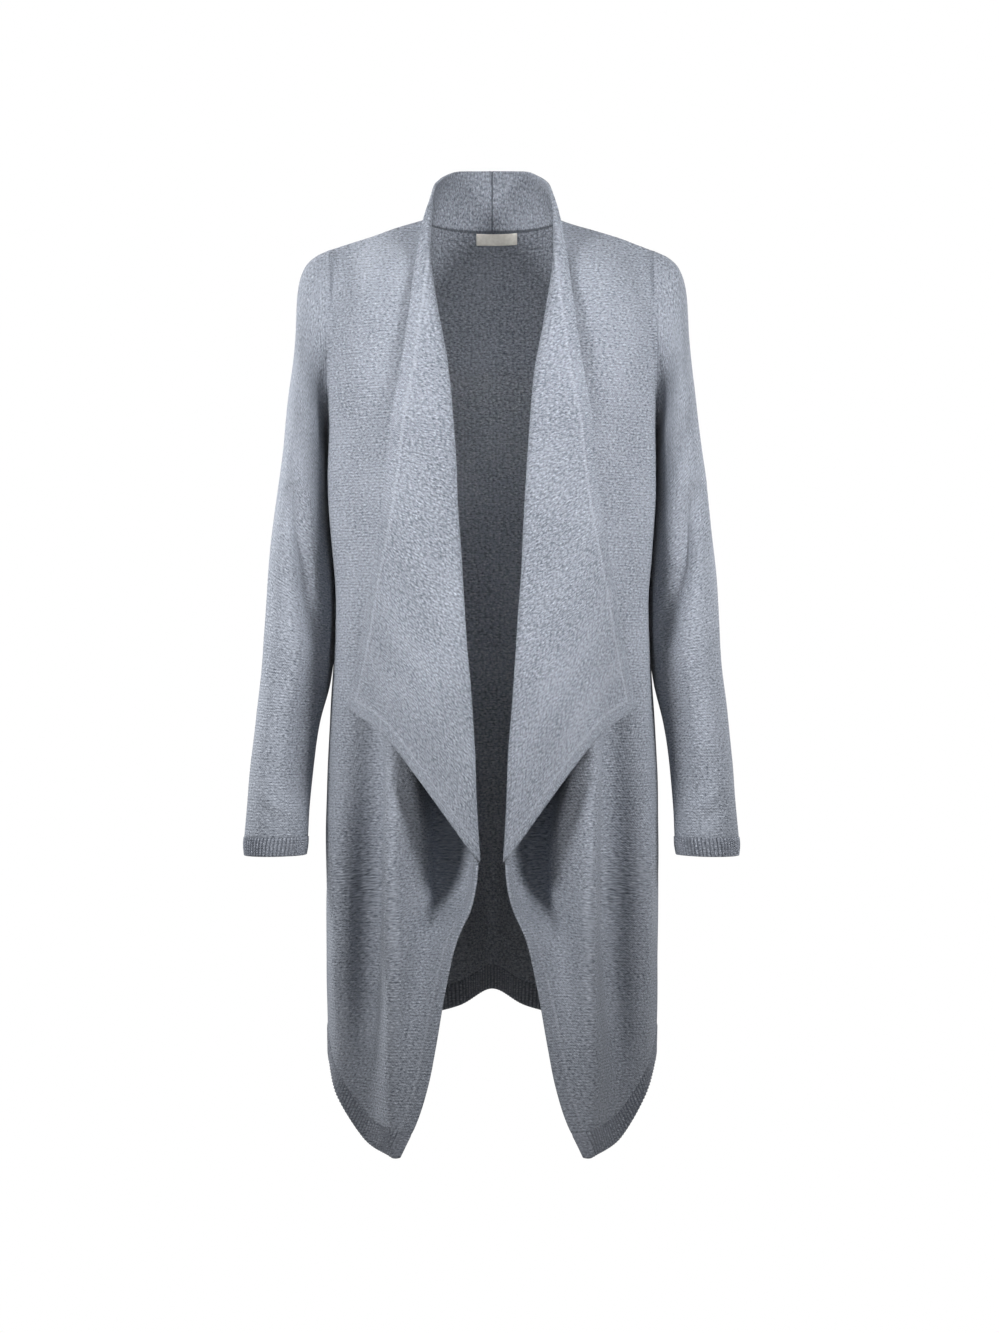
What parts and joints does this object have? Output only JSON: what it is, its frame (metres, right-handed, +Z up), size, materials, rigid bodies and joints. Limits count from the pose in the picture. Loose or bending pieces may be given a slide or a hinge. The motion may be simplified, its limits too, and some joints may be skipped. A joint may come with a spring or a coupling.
{
  "type": "waterfall cardigan",
  "caption": "Long open-front waterfall cardigan in heathered blue-grey knit with draped lapels, stand-up back collar and long sleeves, hollow as when worn.",
  "frame": {"origin": "the middle of the neck, level with the high points of the shoulders, where the wearer holds the garment up", "axes": "+Z up, the front towards -Y, +X towards the wearer's left sleeve"},
  "size_m": [0.5204, 0.2711, 1.0383],
  "materials": {
    "grey_knit": "heathered blue-grey jersey and purl knit, matt",
    "grey_rib": "heathered blue-grey one by one rib, matt",
    "woven_label": "plain cream woven tape, no text"
  },
  "bodies": {
    "root": {"back": "grey_knit", "left_front": "grey_knit", "right_front": "grey_knit", "left_sleeve": "grey_knit", "right_sleeve": "grey_knit", "left_cuff": "grey_rib", "right_cuff": "grey_rib", "back_hem_rib": "grey_rib", "left_hem_rib": "grey_rib", "right_hem_rib": "grey_rib", "neck_label": "woven_label"}
  },
  "joints": []
}
